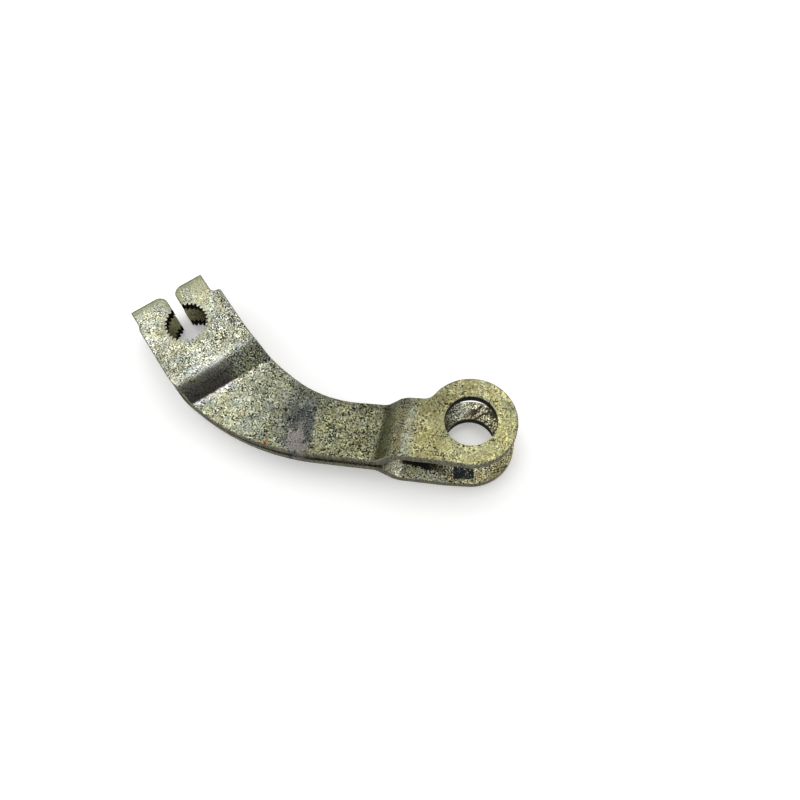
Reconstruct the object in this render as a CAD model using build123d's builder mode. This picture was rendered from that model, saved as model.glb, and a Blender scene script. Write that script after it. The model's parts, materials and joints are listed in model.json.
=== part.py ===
"""Brake cam lever: two mirror-image steel stampings, spot welded face to face along the middle.

The origin is on the axis of the serrated cam bore, on the seam between the two leaves.
+X runs to the eye of the fork, and +Z is along both bores. All sizes are in millimetres.
"""
import os
from math import acos, atan2, cos, degrees, pi, radians, sin, sqrt, tan

from build123d import *

# The sheet and the reach of the lever
sheet = 2.7
arm_reach = 87.5
bend_radius = 2.0

# The serrated cam bore and its clamping slot
serration_count = 30
serration_tip_radius = 5.8
serration_depth = 0.65
serration_land = 0.48
serration_root_width = 0.22
slot_width = 2.95
slot_mouth_radius = 2.7

# The clamping head, in a frame turned from the arm's line about the cam bore
head_angle = 33.6
head_height = 12.0
head_end = 12.3
head_outer_side = 12.6
tab_outer_side = 12.05
outer_step_start = 7.2
outer_step_end = 5.3
tab_inner_side = 11.0
shoulder_setback = 4.8
shoulder_step = 2.5
shoulder_relief_share = 0.6
shoulder_corner_share = 0.32
head_knee = 22.6
head_step_angle = 30.0

# The fork at the brake rod
fork_angle = 11.2
fork_height = 18.1
ear_radius = 12.4
eye_radius = 7.0
fork_knee = 23.6
fork_step_angle = 52.0

# The curved arm between them. Its outer edge runs a little inside the ear of the upper leaf,
# and the lower leaf is wider there. The curve of that edge starts a little outside the head's
# side, which trims it. The waist is the straight middle of the inner edge, and the curves at
# its two ends each take up a share of it
outer_edge_angle = 14.9
outer_edge_inset = 0.25
lower_extra_width = 0.6
outer_curve_start = 5.6
outer_curve_bulge = 0.45
outer_blend_run = 2.0
ear_run = 6.0
inner_edge_angle = 16.5
inner_edge_offset = 5.43
waist_angle = 18.0
waist_reach = 30.7
waist_drop = 1.75
waist_head_share = 0.466
waist_fork_share = 0.454
neck_radius = 3.5

# The spot welds, in a row across the middle of the arm, and the marks of the welding electrodes
weld_count = 2
weld_pitch = 6.0
weld_reach = 45.1
weld_drop = 20.6
weld_row_angle = 105.0
nugget_radius = 2.6
nugget_cap_radius = 1.9
nugget_depth = 1.2
electrode_radius = 3.4
electrode_depth = 0.15

# The worn edge round the outer face of each stamping
edge_chamfer = 0.3

# A square corner, and a length that is enough to cut or trim through everything
right_angle = 90.0
beyond = 4 * (fork_height + ear_radius)

# The free height from the seam to each leaf, and the side of the head beyond the shoulder
head_gap = head_height / 2 - sheet
fork_gap = fork_height / 2 - sheet
head_inner_side = tab_inner_side + shoulder_step
upper_edge_offset = ear_radius - outer_edge_inset
serration_root_radius = serration_tip_radius + serration_depth


def turned(angle):
    """A unit vector in the XY plane, at an angle from +X."""
    return Vector(cos(radians(angle)), sin(radians(angle)), 0)


def crossing(point_a, angle_a, point_b, angle_b):
    """The point where two lines in the XY plane meet."""
    side_b = turned(angle_b + right_angle)
    run = (point_b - point_a).dot(side_b) / turned(angle_a).dot(side_b)
    return point_a + turned(angle_a) * run


def curve_radius(run, bend_angle):
    """The radius of the curve that rounds a corner and starts at a run before it."""
    return run / tan(radians(bend_angle / 2))


# The frames of the head, whose local X points into the arm, and of the fork, whose X points out
head_frame = Plane(origin=(0, 0, 0), x_dir=turned(-head_angle), z_dir=(0, 0, 1))
fork_frame = Plane(origin=(arm_reach, 0, 0), x_dir=turned(fork_angle), z_dir=(0, 0, 1))


def stepped_sheet(frame, out, knee, rise, step_angle, reach):
    """A wide sheet bent up in one step, and ended at the middle of the arm.

    The sheet lies on the seam as far as the knee, which is the sharp inner line of the bend,
    and runs level again above it. out is +1 or -1: the way out of the arm along the frame's X.
    """
    bend_setback = sheet * tan(radians(step_angle / 2))
    knee_under = knee - bend_setback
    crown_under = knee_under - rise / tan(radians(step_angle))
    side = Plane(origin=frame.origin, x_dir=frame.x_dir * out, z_dir=frame.y_dir * -out)
    with BuildPart() as bent:
        with BuildSketch(side):
            with BuildLine():
                FilletPolyline(
                    (-arm_reach, 0),
                    (-knee_under, 0),
                    (-crown_under, rise),
                    (reach, rise),
                    radius=[bend_radius + sheet, bend_radius],
                )
                offset(amount=sheet, side=Side.LEFT)
            make_face()
        extrude(amount=beyond, both=True)
        middle = Plane(origin=(arm_reach / 2, 0, 0), z_dir=(1, 0, 0))
        head_side = frame.origin.X < arm_reach / 2
        split(bisect_by=middle, keep=Keep.BOTTOM if head_side else Keep.TOP)
    return bent.part


# The points that set the outline of a leaf
mouth_point = head_frame.from_local_coords(Vector(-head_end, 0, 0))
notch_point = head_frame.from_local_coords(Vector(-shoulder_setback, tab_inner_side, 0))
shoulder_point = head_frame.from_local_coords(Vector(-shoulder_setback, head_inner_side, 0))
outer_point = head_frame.from_local_coords(Vector(0, -head_outer_side - outer_curve_bulge, 0))
eye_point = Vector(arm_reach, 0, 0)
inner_foot = eye_point + turned(inner_edge_angle + right_angle) * inner_edge_offset
waist_point = Vector(waist_reach, -waist_drop, 0)
waist_corner = crossing(shoulder_point, -head_angle, waist_point, -waist_angle)
inner_corner = crossing(waist_point, -waist_angle, inner_foot, inner_edge_angle)
waist_length = (inner_corner - waist_corner).length
waist_radius = curve_radius(waist_head_share * waist_length, head_angle - waist_angle)
inner_radius = curve_radius(waist_fork_share * waist_length, waist_angle + inner_edge_angle)


def leaf_outline(edge_offset):
    """The outline of a leaf, whose outer edge passes the eye at edge_offset."""
    edge_foot = eye_point + turned(outer_edge_angle - right_angle) * edge_offset
    ear_start = edge_foot - turned(outer_edge_angle) * ear_run
    outer_corner = crossing(outer_point, -head_angle, edge_foot, outer_edge_angle)
    outer_run = (outer_corner - outer_point).length - outer_curve_start
    outer_radius = curve_radius(outer_run, head_angle + outer_edge_angle)
    trim_start = outer_curve_start + sqrt(outer_curve_bulge * (2 * outer_radius - outer_curve_bulge))
    trim_point = head_frame.from_local_coords(Vector(trim_start, -head_outer_side, 0))
    trim_radius = curve_radius(outer_blend_run, degrees(acos(1 - outer_curve_bulge / outer_radius)))
    start_angle = outer_edge_angle - right_angle - degrees(atan2(ear_run, edge_offset))
    tangent_angle = start_angle + degrees(acos(ear_radius / (ear_start - eye_point).length))
    tangent_point = eye_point + turned(tangent_angle) * ear_radius
    with BuildSketch() as outline:
        with BuildLine():
            Polyline(
                notch_point, shoulder_point, waist_corner, inner_corner, inner_foot, eye_point,
                tangent_point, ear_start, outer_corner, outer_point, close=True,
            )
        make_face()
        for corner, radius in (
            (waist_corner, waist_radius),
            (inner_corner, inner_radius),
            (outer_corner, outer_radius),
        ):
            fillet(outline.vertices().sort_by_distance(corner)[0], radius=radius)
        with Locations(eye_point):
            Circle(ear_radius)
        on_ear = outline.vertices().filter_by(
            lambda corner: abs((corner.center() - eye_point).length - ear_radius) < 0.01
        )
        fillet(on_ear.sort_by(Axis.Y)[-1], radius=neck_radius)
        with Locations(head_frame):
            with Locations((0, -head_outer_side)):
                Rectangle(arm_reach, beyond, align=(Align.CENTER, Align.MAX), mode=Mode.SUBTRACT)
            Polygon(
                (0, tab_inner_side), (-head_end, tab_inner_side), (-head_end, -tab_outer_side),
                (-outer_step_start, -tab_outer_side), (-outer_step_end, -head_outer_side),
                (0, -head_outer_side), align=None,
            )
        for corner, radius in (
            (trim_point, trim_radius),
            (notch_point, shoulder_relief_share * shoulder_step),
            (shoulder_point, shoulder_corner_share * shoulder_step),
        ):
            fillet(outline.vertices().sort_by_distance(corner)[0], radius=radius)
        with Locations(head_frame):
            with Locations((-head_end / 2, 0)):
                Rectangle(head_end, slot_width, mode=Mode.SUBTRACT)
        fillet(outline.vertices().sort_by_distance(mouth_point)[0:2], radius=slot_mouth_radius)
    return outline.sketch


# The cutter for the serrated bore: the tip circle, and one space between each two teeth
tooth_pitch = 2 * pi * serration_tip_radius / serration_count
space_width = tooth_pitch - serration_land
with BuildSketch(head_frame) as serrated_bore:
    Circle(serration_tip_radius)
    with PolarLocations(0, serration_count, start_angle=180 / serration_count):
        Polygon(
            (serration_tip_radius - sheet / 10, -space_width / 2),
            (serration_tip_radius, -space_width / 2),
            (serration_root_radius, -serration_root_width / 2),
            (serration_root_radius, serration_root_width / 2),
            (serration_tip_radius, space_width / 2),
            (serration_tip_radius - sheet / 10, space_width / 2),
            align=None,
        )

# One weld nugget, which shrinks from the seam into each sheet
with BuildPart() as nugget:
    with BuildSketch(Plane.XZ):
        with BuildLine():
            Polyline(
                (0, -nugget_depth), (nugget_cap_radius, -nugget_depth), (nugget_radius, 0),
                (nugget_cap_radius, nugget_depth), (0, nugget_depth), close=True,
            )
        make_face()
    revolve(axis=Axis.Z)

first_weld = Vector(weld_reach, -weld_drop, 0)
weld_points = [
    first_weld + turned(weld_row_angle) * (number * weld_pitch) for number in range(weld_count)
]

head_sheet = stepped_sheet(head_frame, -1, head_knee, head_gap, head_step_angle, 2 * head_end)
fork_sheet = stepped_sheet(fork_frame, 1, fork_knee, fork_gap, fork_step_angle, 2 * ear_radius)


def stamped_leaf(outline):
    """One finished leaf, which lies above the seam."""
    with BuildPart() as leaf:
        add(head_sheet)
        add(fork_sheet)
        extrude(outline, amount=beyond, both=True, mode=Mode.INTERSECT)

        # The punched edge is worn away where it meets the outer face
        outer_faces = leaf.faces().filter_by(lambda face: face.normal_at().Z > 0.3)
        walls = leaf.faces().filter_by(lambda face: abs(face.normal_at().Z) < 0.01)
        chamfer(outer_faces.edges() & walls.edges(), length=edge_chamfer)

        # The eye, the serrated bore, the electrode marks and the pockets of the welds
        with Locations(eye_point):
            Hole(eye_radius)
        extrude(serrated_bore.sketch, amount=beyond, both=True, mode=Mode.SUBTRACT)
        with BuildSketch(Plane.XY.offset(sheet - electrode_depth)):
            with Locations(weld_points):
                Circle(electrode_radius)
        extrude(amount=2 * electrode_depth, mode=Mode.SUBTRACT)
        with Locations(weld_points):
            add(nugget.part, mode=Mode.SUBTRACT)
    return leaf.part


lower_stamping = stamped_leaf(leaf_outline(upper_edge_offset + lower_extra_width))

with BuildPart() as upper_leaf:
    add(stamped_leaf(leaf_outline(upper_edge_offset)))

with BuildPart() as lower_leaf:
    mirror(lower_stamping, about=Plane.XY)

with BuildPart() as spot_welds:
    with Locations(weld_points):
        add(nugget.part)

os.makedirs("parts", exist_ok=True)
upper_leaf.part.label = "upper_leaf"
lower_leaf.part.label = "lower_leaf"
spot_welds.part.label = "spot_welds"
export_step(upper_leaf.part, "parts/upper_leaf.step")
export_step(lower_leaf.part, "parts/lower_leaf.step")
export_step(spot_welds.part, "parts/spot_welds.step")
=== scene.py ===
"""A worn brake cam lever, lying on a plain white floor.

Two steel leaves are spot welded face to face. Each has a clamping head with a serrated bore at
one end and an ear of the fork at the other. The script dresses the two leaves and the welds,
and sets up the floor, the light and the camera. The frame is the CAD's: the origin is on the
cam bore's axis, on the seam, and +X runs to the eye of the fork. The meshes, the floor's size
and the studio are in metres. All other sizes here are in millimetres and degrees.
"""
import json
import logging
import math
from dataclasses import dataclass
from enum import Enum
from typing import Any

import bmesh
import bpy
from mathutils import Matrix, Vector

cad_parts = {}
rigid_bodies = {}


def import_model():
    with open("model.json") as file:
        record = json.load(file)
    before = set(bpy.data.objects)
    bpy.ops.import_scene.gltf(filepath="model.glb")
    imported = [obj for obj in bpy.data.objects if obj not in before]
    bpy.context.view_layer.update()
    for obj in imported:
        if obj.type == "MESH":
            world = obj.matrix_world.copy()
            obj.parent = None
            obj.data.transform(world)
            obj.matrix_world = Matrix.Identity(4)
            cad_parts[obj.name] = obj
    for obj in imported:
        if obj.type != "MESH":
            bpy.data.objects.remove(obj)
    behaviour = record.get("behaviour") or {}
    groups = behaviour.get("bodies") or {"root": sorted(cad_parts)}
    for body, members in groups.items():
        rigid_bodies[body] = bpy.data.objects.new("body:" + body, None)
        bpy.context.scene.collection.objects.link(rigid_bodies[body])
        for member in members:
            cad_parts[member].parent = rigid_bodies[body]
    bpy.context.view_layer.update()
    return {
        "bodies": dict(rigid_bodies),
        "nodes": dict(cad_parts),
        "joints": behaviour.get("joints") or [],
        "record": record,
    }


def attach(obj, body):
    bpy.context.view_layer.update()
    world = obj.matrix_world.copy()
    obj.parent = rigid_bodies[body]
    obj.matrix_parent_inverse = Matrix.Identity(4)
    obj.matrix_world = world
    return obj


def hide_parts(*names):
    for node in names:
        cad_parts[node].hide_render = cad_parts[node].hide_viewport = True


LOG = logging.getLogger("lever")
MM = 0.001
BUMP_HEIGHT = 0.06 * MM
Colour = tuple[float, float, float]
Place = tuple[float, float, float]
Point = tuple[float, float]
# Where an effect starts, and where it is full.
Span = tuple[float, float]
# A distance, the colour there and the contrast of the pits there.
Stop = tuple[float, Colour, float]
# The features per millimetre of a noise, its layers of detail and their roughness.
Texture = tuple[float, float, float]
Socket = bpy.types.NodeSocket
ORIGIN: Point = (0.0, 0.0)
WHITE: Colour = (1.0, 1.0, 1.0)


class Region(Enum):
    """The kinds of surface on a leaf, in the order of its material slots."""

    OUTER = 0
    INNER = 1
    RIM = 2
    WALL = 3
    BORE = 4
    SEAM = 5


@dataclass(frozen=True)
class LeverPlan:
    """The sizes of the lever's plan that the finishes and the worn shapes follow."""

    arm_reach: float = 87.5
    root_radius: float = 6.45
    eye_radius: float = 7.0
    head_angle: float = 33.6
    fork_angle: float = 11.2
    head_end: float = 12.3
    sheet: float = 2.7
    head_height: float = 12.0
    head_width: float = 14.0
    slot_half: float = 1.475
    mouth_radius: float = 2.7
    lower_weld: Point = (45.1, -20.6)
    upper_weld: Point = (43.55, -14.8)
    row_angle: float = 105.0
    mark_radius: float = 3.6
    head_inner_side: float = 13.5
    waist_point: Point = (30.7, -1.75)
    waist_angle: float = 18.0
    inner_edge_angle: float = 16.5
    inner_edge_offset: float = 5.43

    @property
    def eye(self) -> Point:
        """The place of the eye's axis."""
        return (self.arm_reach, 0.0)


PLAN = LeverPlan()


@dataclass(frozen=True)
class Dent:
    """A shallow dent in an outer face: its place, its turn and its sizes."""

    x: float
    y: float
    turn: float
    length: float
    width: float
    depth: float


@dataclass(frozen=True)
class RustSpot:
    """A small spot of rust on an outer face: its place and its radius."""

    place: Point
    radius: float


class Graph:
    """A short way to build the nodes of one material or node group."""

    def __init__(self, tree: bpy.types.NodeTree) -> None:
        """Keeps the tree that the nodes go into."""
        self.tree = tree

    def add(
        self, kind: str, inputs: dict[Any, Any] | None = None, **settings: Any
    ) -> bpy.types.Node:
        """Adds a node.

        Args:
            kind: the node's type, such as ShaderNodeMath.
            inputs: values or sockets for its inputs, by name or number.
            settings: the node's own properties.

        Returns:
            The new node.
        """
        node = self.tree.nodes.new(kind)
        for name, value in settings.items():
            setattr(node, name, value)
        for key, value in (inputs or {}).items():
            self.feed(node.inputs[key], value)
        return node

    def feed(self, socket: Socket, value: Any) -> None:
        """Links a socket, or sets its value.

        Args:
            socket: the input.
            value: a socket to link, or a number, a vector or a colour to set.
        """
        if isinstance(value, bpy.types.NodeSocket):
            self.tree.links.new(value, socket)
        elif isinstance(value, tuple) and len(value) == 3 and socket.type == "RGBA":
            socket.default_value = (*value, 1.0)
        else:
            socket.default_value = value

    def math(self, operation: str, *values: Any) -> Socket:
        """A Math node's result."""
        return self.add("ShaderNodeMath", dict(enumerate(values)), operation=operation).outputs[0]

    def step(
        self, value: Any, start: float, end: float, low: float = 0.0, high: float = 1.0
    ) -> Socket:
        """Goes smoothly from low to high while a value goes from start to end.

        Args:
            value: the value.
            start: where it starts.
            end: where it ends, which may be less than start.
            low: the result at the start.
            high: the result at the end.

        Returns:
            The result.
        """
        node = self.add(
            "ShaderNodeMapRange",
            {"Value": value, "From Min": start, "From Max": end, "To Min": low, "To Max": high},
            interpolation_type="SMOOTHSTEP",
        )
        return node.outputs["Result"]

    def blend(self, factor: Any, first: Any, second: Any) -> Socket:
        """Mixes two colours.

        Args:
            factor: the second one's share.
            first: a colour.
            second: another one.

        Returns:
            The mixed colour.
        """
        node = self.add("ShaderNodeMix", data_type="RGBA")
        for index, value in ((0, factor), (6, first), (7, second)):
            self.feed(node.inputs[index], value)
        return node.outputs[2]

    def lerp(self, factor: Any, first: Any, second: Any) -> Socket:
        """Mixes two numbers.

        Args:
            factor: the second one's share.
            first: a number.
            second: another one.

        Returns:
            The mixed number.
        """
        node = self.add("ShaderNodeMix", data_type="FLOAT")
        for index, value in ((0, factor), (2, first), (3, second)):
            self.feed(node.inputs[index], value)
        return node.outputs[0]

    def ramp(self, value: Socket, stops: tuple[Stop, ...]) -> tuple[Socket, Socket]:
        """A colour and a contrast that change along a value.

        Args:
            value: the number that picks them.
            stops: a number, the colour and the contrast there, in rising order.

        Returns:
            The colour and the contrast.
        """
        low, high = stops[0][0], stops[-1][0]
        place = self.add(
            "ShaderNodeMapRange", {"Value": value, "From Min": low, "From Max": high}
        )
        node = self.add("ShaderNodeValToRGB", {0: place.outputs[0]})
        elements = node.color_ramp.elements
        for at, _, _ in stops[1:-1]:
            elements.new((at - low) / (high - low))
        for element, (_, colour, contrast) in zip(elements, stops):
            element.color = (*colour, contrast)
        return node.outputs["Color"], node.outputs["Alpha"]

    def tinted(self, colour: Socket, tint: Colour) -> Socket:
        """A colour or a vector times another one, part by part."""
        node = self.add("ShaderNodeVectorMath", {0: colour, 1: tint}, operation="MULTIPLY")
        return node.outputs[0]

    def scale_colour(self, colour: Any, factor: Any) -> Socket:
        """A colour times a number."""
        node = self.add("ShaderNodeVectorMath", {0: colour, "Scale": factor}, operation="SCALE")
        return node.outputs[0]

    def away(self, centre: Point) -> Socket:
        """The distance in plan from a centre.

        Args:
            centre: the centre's place.

        Returns:
            The distance.
        """
        x, y, _ = self.split(self.placed(0.0, centre))
        squared = self.math("ADD", self.math("MULTIPLY", x, x), self.math("MULTIPLY", y, y))
        return self.math("SQRT", squared)

    def noise(self, place: Socket, texture: Texture) -> Socket:
        """A Noise texture's value.

        Args:
            place: where it is read, in millimetres.
            texture: its features per millimetre, its detail and its roughness.

        Returns:
            The value, which is around 0.5.
        """
        settings = {"Vector": place, **dict(zip(("Scale", "Detail", "Roughness"), texture))}
        return self.add("ShaderNodeTexNoise", settings).outputs["Fac"]

    def placed(self, angle: float, centre: Point) -> Socket:
        """Object coordinates in millimetres, from a centre and turned to an angle.

        Args:
            angle: the new x axis, from +X.
            centre: the new origin.

        Returns:
            The coordinates.
        """
        turn = math.radians(-angle)
        x = centre[0] * math.cos(turn) - centre[1] * math.sin(turn)
        y = centre[0] * math.sin(turn) + centre[1] * math.cos(turn)
        settings = {
            "Vector": self.add("ShaderNodeTexCoord").outputs["Object"],
            "Location": (-x, -y, 0.0),
            "Rotation": (0.0, 0.0, turn),
            "Scale": (1 / MM,) * 3,
        }
        return self.add("ShaderNodeMapping", settings).outputs[0]

    def split(self, vector: Socket) -> tuple[Socket, Socket, Socket]:
        """The three numbers of a vector."""
        node = self.add("ShaderNodeSeparateXYZ", {0: vector})
        return node.outputs[0], node.outputs[1], node.outputs[2]

    def bump(self, height: Socket, strength: float) -> Socket:
        """The normal of a slightly bumpy surface."""
        settings = {"Height": height, "Strength": strength, "Distance": BUMP_HEIGHT}
        return self.add("ShaderNodeBump", settings).outputs[0]


def new_group(
    name: str, inputs: dict[str, float], outputs: tuple[str, ...]
) -> tuple[Graph, dict[str, Socket], bpy.types.Node]:
    """Starts a shader node group.

    Args:
        name: the group's name.
        inputs: the number inputs and their defaults.
        outputs: the names of the number outputs.

    Returns:
        Its graph, its inputs' sockets by name, and its output node.
    """
    tree = bpy.data.node_groups.new(name, "ShaderNodeTree")
    for label, value in inputs.items():
        socket = tree.interface.new_socket(label, in_out="INPUT", socket_type="NodeSocketFloat")
        socket.default_value = value
    for label in outputs:
        tree.interface.new_socket(label, in_out="OUTPUT", socket_type="NodeSocketFloat")
    graph = Graph(tree)
    source = graph.add("NodeGroupInput")
    return graph, {label: source.outputs[label] for label in inputs}, graph.add("NodeGroupOutput")


@dataclass(frozen=True)
class PitPattern:
    """Fine dark pits and bright grain in worn plating, with larger scars in clusters.

    Each span is in the values of a noise.
    """

    grain: Texture = (1 / 0.42, 1.0, 0.6)
    pit_span: Span = (0.50, 0.42)
    pit_weight: float = 1.15
    glint_span: Span = (0.49, 0.58)
    glint_shift: Point = (17.0, 5.0)
    patches: Texture = (1 / 5.0, 3.0, 0.6)
    patch_drift: float = 0.35
    scars: Texture = (1 / 0.8, 2.0, 0.6)
    scar_span: Span = (0.655, 0.70)
    scar_patches: Span = (0.64, 0.50)
    scar_darkness: float = 0.8
    scar_depth: float = 1.2
    darkest: float = 0.06

    def build(self) -> bpy.types.NodeTree:
        """Builds the node group.

        Returns:
            The group. Tone multiplies a colour, Grain is high in glints, and Height is for a bump.
        """
        graph, inputs, out = new_group(
            "plating_pits", {"Contrast": 0.7, "Wear": 0.0}, ("Tone", "Grain", "Height")
        )
        place = graph.placed(0.0, ORIGIN)
        patch = graph.noise(place, self.patches)
        drift = graph.math("MULTIPLY", graph.math("SUBTRACT", patch, 0.5), self.patch_drift)
        drift = graph.math("SUBTRACT", drift, inputs["Wear"])
        pit = graph.math("ADD", graph.noise(place, self.grain), drift)
        pit = graph.step(pit, *self.pit_span)
        glint = graph.noise(graph.placed(0.0, self.glint_shift), self.grain)
        glint = graph.step(glint, *self.glint_span)
        level = graph.math("SUBTRACT", glint, graph.math("MULTIPLY", pit, self.pit_weight))
        scar = graph.step(graph.noise(place, self.scars), *self.scar_span)
        scar = graph.math("MULTIPLY", scar, graph.step(patch, *self.scar_patches))
        tone = graph.math("MULTIPLY_ADD", level, inputs["Contrast"], 1.0)
        in_scar = graph.math("MULTIPLY_ADD", scar, -self.scar_darkness, 1.0)
        tone = graph.math("MULTIPLY", tone, in_scar)
        graph.feed(out.inputs["Tone"], graph.math("MAXIMUM", tone, self.darkest))
        graph.feed(out.inputs["Grain"], graph.math("MULTIPLY_ADD", level, 0.5, 0.5))
        height = graph.math("MULTIPLY_ADD", scar, -self.scar_depth, level)
        graph.feed(out.inputs["Height"], height)
        return graph.tree


@dataclass(frozen=True)
class RegionMap:
    """Where a point lies on the lever: along the head and the fork, and in its marked places.

    A drift moves a border to and fro in broad waves, and a jitter makes it ragged.
    """

    ragged: Texture = (0.8, 4.0, 0.7)
    broad: Texture = (0.22, 2.0, 0.6)
    head_jitter: float = 0.9
    fork_jitter: float = 0.7
    to_fork: Span = (38.0, 52.0)
    inner_side: Span = (-1.0, 10.0)
    inner_side_drift: float = 14.0
    bore_ring: Span = (7.5, 6.7)
    ear_top: Span = (1.0, 9.0)
    ear_top_drift: float = 8.0
    tab_band: Span = (2.5, 0.9)
    tab_reach: Span = (-5.0, -7.5)
    tab_slot_gain: float = 0.5
    tab_jitter: float = 1.6
    waist_band: Span = (4.2, 1.2)
    waist_corner: float = 2.0
    waist_jitter: float = 1.5
    weld_drift: float = 9.0
    weld_jitter: float = 4.0
    lower_mark: Span = (3.4, 2.4)
    upper_mark: Span = (2.4, 1.0)
    upper_mark_strength: float = 0.4
    heat_across: Span = (8.5, 2.0)
    heat_far_edge: Span = (-4.4, -3.2)
    heat_along: Span = (17.0, 9.0)
    heat_patches: Span = (-0.20, 0.08)
    heat_least: float = 0.30

    def build(self) -> bpy.types.NodeTree:
        """Builds the node group.

        Returns:
            The group. HeadX and ForkX are distances, and the other outputs are masks.
        """
        names = (
            "HeadX", "ForkX", "ToFork", "InnerSide", "Waist",
            "BoreRing", "EarTop", "Tab", "Weld", "Heat",
        )
        graph, _, out = new_group("lever_regions", {}, names)
        place = graph.placed(0.0, ORIGIN)
        head_x, head_y, _ = graph.split(graph.placed(-PLAN.head_angle, ORIGIN))
        fork_x, fork_y, _ = graph.split(graph.placed(PLAN.fork_angle, PLAN.eye))
        lever_x, _, _ = graph.split(place)
        ragged = graph.math("SUBTRACT", graph.noise(place, self.ragged), 0.5)
        broad = graph.math("SUBTRACT", graph.noise(place, self.broad), 0.5)
        side = graph.math("MULTIPLY_ADD", broad, self.inner_side_drift, head_y)
        ear_side = graph.math("MULTIPLY_ADD", broad, self.ear_top_drift, fork_y)
        found = {
            "HeadX": graph.math("MULTIPLY_ADD", ragged, self.head_jitter, head_x),
            "ForkX": graph.math("MULTIPLY_ADD", ragged, self.fork_jitter, fork_x),
            "ToFork": graph.step(lever_x, *self.to_fork),
            "InnerSide": graph.step(side, *self.inner_side),
            "Waist": self._waist(graph, head_y, ragged),
            "BoreRing": graph.step(graph.away(ORIGIN), *self.bore_ring),
            "EarTop": graph.step(ear_side, *self.ear_top),
            "Tab": self._tab(graph, head_x, head_y, ragged),
            "Weld": self._weld(graph, broad, ragged),
            "Heat": self._heat(graph, broad, ragged),
        }
        for name in names:
            graph.feed(out.inputs[name], found[name])
        return graph.tree

    def _tab(self, graph: Graph, head_x: Socket, head_y: Socket, ragged: Socket) -> Socket:
        """The smooth rolled border of the two tabs.

        Args:
            graph: the group's graph.
            head_x: the distance along the head.
            head_y: the distance across it.
            ragged: a fine noise around zero.

        Returns:
            The mask.
        """
        to_end = graph.math("ADD", head_x, PLAN.head_end)
        to_slot = graph.math("ABSOLUTE", head_y)
        to_slot = graph.math("SUBTRACT", to_slot, PLAN.slot_half - self.tab_slot_gain)
        to_edge = graph.math("SMOOTH_MIN", to_end, to_slot, PLAN.mouth_radius)
        to_edge = graph.math("MULTIPLY_ADD", ragged, self.tab_jitter, to_edge)
        on_tab = graph.step(head_x, *self.tab_reach)
        return graph.math("MULTIPLY", graph.step(to_edge, *self.tab_band), on_tab)

    def _waist(self, graph: Graph, head_y: Socket, ragged: Socket) -> Socket:
        """The duller border along the hollow edge of the arm.

        Args:
            graph: the group's graph.
            head_y: the distance across the head.
            ragged: a fine noise around zero.

        Returns:
            The mask.
        """
        to_head = graph.math("SUBTRACT", PLAN.head_inner_side, head_y)
        _, waist_y, _ = graph.split(graph.placed(-PLAN.waist_angle, PLAN.waist_point))
        _, fork_y, _ = graph.split(graph.placed(PLAN.inner_edge_angle, PLAN.eye))
        to_fork = graph.math("SUBTRACT", PLAN.inner_edge_offset, fork_y)
        to_waist = graph.math("MULTIPLY", waist_y, -1.0)
        depth = graph.math("SMOOTH_MAX", to_waist, to_fork, self.waist_corner)
        depth = graph.math("SMOOTH_MAX", to_head, depth, self.waist_corner)
        depth = graph.math("MULTIPLY_ADD", ragged, self.waist_jitter, depth)
        return graph.step(depth, *self.waist_band)

    def _weld(self, graph: Graph, broad: Socket, ragged: Socket) -> Socket:
        """The smooth marks of the welding electrodes.

        Args:
            graph: the group's graph.
            broad: a broad noise around zero.
            ragged: a fine one.

        Returns:
            The mask.
        """
        uneven = graph.math("MULTIPLY", ragged, self.weld_jitter)
        uneven = graph.math("MULTIPLY_ADD", broad, self.weld_drift, uneven)
        lower = graph.math("ADD", uneven, graph.away(PLAN.lower_weld))
        upper = graph.math("ADD", uneven, graph.away(PLAN.upper_weld))
        upper_mark = graph.step(upper, *self.upper_mark, 0.0, self.upper_mark_strength)
        return graph.math("MAXIMUM", graph.step(lower, *self.lower_mark), upper_mark)

    def _heat(self, graph: Graph, broad: Socket, ragged: Socket) -> Socket:
        """The dark tint that the welding heat left across the arm.

        Args:
            graph: the group's graph.
            broad: a broad noise around zero.
            ragged: a fine one.

        Returns:
            The mask.
        """
        along, across, _ = graph.split(graph.placed(PLAN.row_angle, PLAN.lower_weld))
        spread = graph.math("MULTIPLY_ADD", ragged, self.weld_jitter, across)
        spread = graph.math("MULTIPLY_ADD", broad, self.weld_drift, spread)
        far_edge = graph.step(across, *self.heat_far_edge)
        heat = graph.math("MULTIPLY", graph.step(spread, *self.heat_across), far_edge)
        patchy = graph.math("ADD", broad, ragged)
        patchy = graph.step(patchy, *self.heat_patches, self.heat_least, 1.0)
        heat = graph.math("MULTIPLY", heat, patchy)
        return graph.math("MULTIPLY", heat, graph.step(along, *self.heat_along))


class Effects:
    """The node groups that several finishes share."""

    def __init__(self) -> None:
        """Builds each group once."""
        self.pitting = PitPattern().build()
        self.regions = RegionMap().build()


def principled(name: str) -> tuple[bpy.types.Material, Graph, bpy.types.Node]:
    """A new material with only a Principled shader and its output.

    Args:
        name: the material's name.

    Returns:
        The material, its graph and the Principled node.
    """
    material = bpy.data.materials.new(name)
    material.use_nodes = True
    material.node_tree.nodes.clear()
    graph = Graph(material.node_tree)
    shader = graph.add("ShaderNodeBsdfPrincipled")
    graph.add("ShaderNodeOutputMaterial", {"Surface": shader.outputs[0]})
    return material, graph, shader


@dataclass(frozen=True)
class StainOrShadow:
    """A mark on the lower leaf's inner face, or a painted shadow there. Each kind has a mask of its
    own.
    """

    colour: Colour

    def mask(self, graph: Graph) -> Socket:
        """Where it lies."""
        raise NotImplementedError

    @staticmethod
    def on_lower_leaf(graph: Graph, mask: Socket, height: Socket) -> Socket:
        """A mask, kept to the lower leaf."""
        return graph.math("MULTIPLY", mask, graph.math("LESS_THAN", height, 0.0))


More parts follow.
